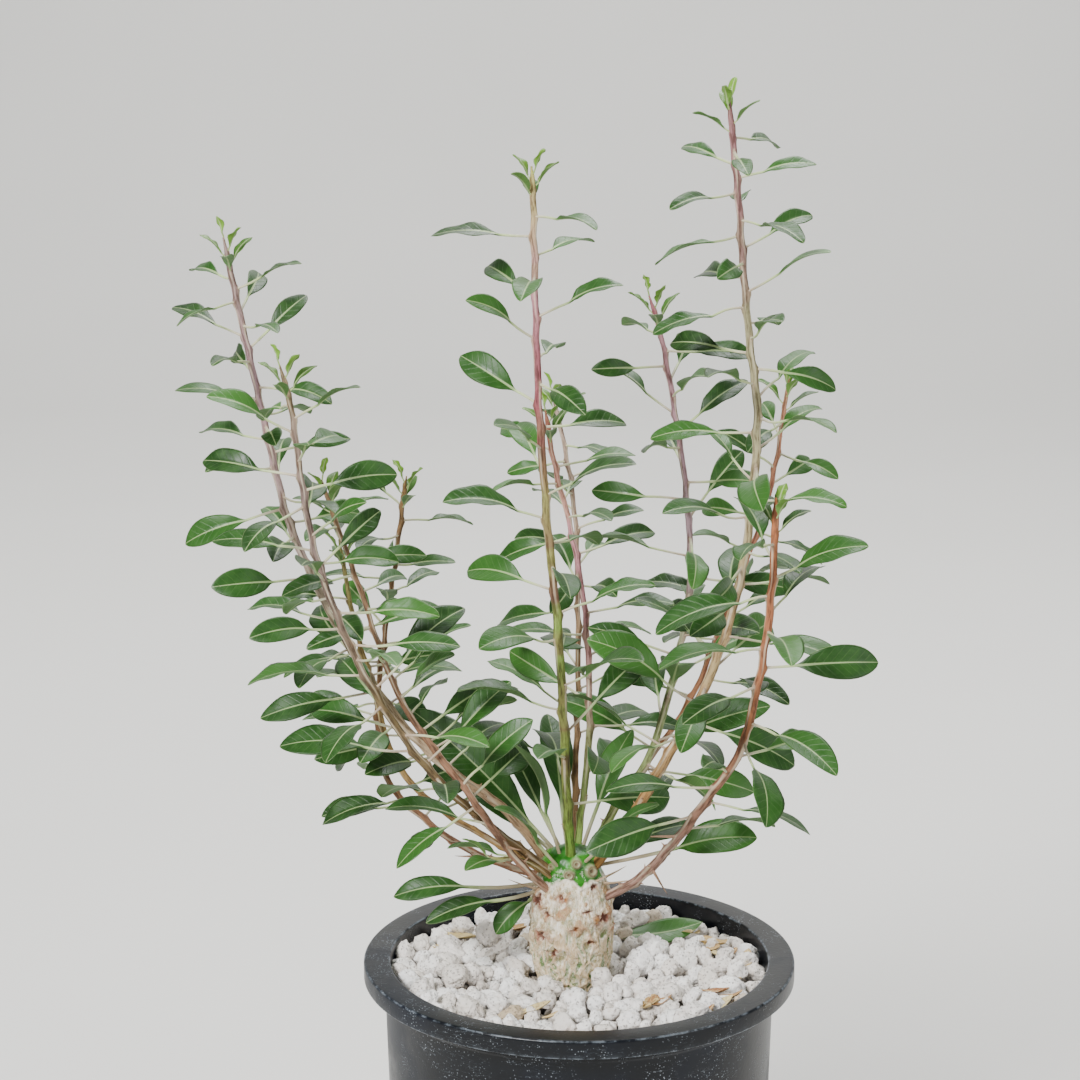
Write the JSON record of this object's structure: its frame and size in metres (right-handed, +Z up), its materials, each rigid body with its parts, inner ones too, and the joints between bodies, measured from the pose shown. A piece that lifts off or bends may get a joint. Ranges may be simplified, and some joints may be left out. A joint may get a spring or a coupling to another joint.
{
  "type": "potted boojum tree",
  "caption": "Young boojum tree with a barrel trunk and slender leafy shoots, in a round black nursery pot topped with white pumice.",
  "frame": {"origin": "centre of the pot's underside", "axes": "+Z up through the pot to the shoots, +X to the plant's right seen from its front, +Y to the back"},
  "size_m": [0.2579, 0.2018, 0.4979],
  "materials": {
    "pot_plastic": "moulded black polyethylene, dusty and scuffed",
    "growing_mix": "dark, gritty, dry",
    "pumice": "rough, porous, off-white",
    "trunk_bark": "papery cream bark, green crown",
    "stem_bark": "ribbed, tan to mauve",
    "leaf": "satin green with a pale midrib",
    "dry_leaf": "dry, papery, yellow to brown"
  },
  "bodies": {
    "root": {"pot": "pot_plastic", "trunk": "trunk_bark", "crown_leaf_left_strap": "leaf", "crown_leaf_left_strap_2": "leaf", "crown_leaf_left_hanging": "leaf", "crown_leaf_left_low": "leaf", "crown_leaf_left_low_2": "leaf", "crown_leaf_left_upright": "leaf", "crown_leaf_centre_upright": "leaf", "crown_leaf_centre_front": "leaf", "crown_leaf_front_right": "leaf", "crown_leaf_right_upright": "leaf", "crown_leaf_right_low": "leaf", "crown_leaf_right_broad": "leaf", "crown_leaf_right_back_low": "leaf", "crown_leaf_back_upright": "leaf", "shoot_left_outer": "stem_bark", "shoot_left_inner": "stem_bark", "shoot_left_front": "stem_bark", "shoot_left_back": "stem_bark", "shoot_left_middle": "stem_bark", "shoot_low_sprig": "stem_bark", "shoot_middle_front": "stem_bark", "shoot_middle": "stem_bark", "shoot_middle_back": "stem_bark", "shoot_right_inner": "stem_bark", "shoot_right_tall": "stem_bark", "shoot_right_back": "stem_bark", "shoot_right_outer": "stem_bark", "growing_mix": "growing_mix", "fallen_green_leaf": "leaf", "dry_leaf_1": "dry_leaf", "dry_leaf_2": "dry_leaf", "dry_leaf_3": "dry_leaf", "dry_leaf_4": "dry_leaf", "dry_leaf_5": "dry_leaf", "dry_leaf_6": "dry_leaf", "dry_leaf_7": "dry_leaf", "pumice_stone_1": "pumice", "pumice_stone_2": "pumice", "pumice_stone_3": "pumice", "pumice_stone_4": "pumice", "pumice_stone_5": "pumice", "pumice_stone_6": "pumice", "pumice_stone_7": "pumice", "pumice_stone_8": "pumice", "pumice_stone_9": "pumice", "pumice_stone_10": "pumice", "pumice_topping": "pumice"}
  },
  "joints": []
}
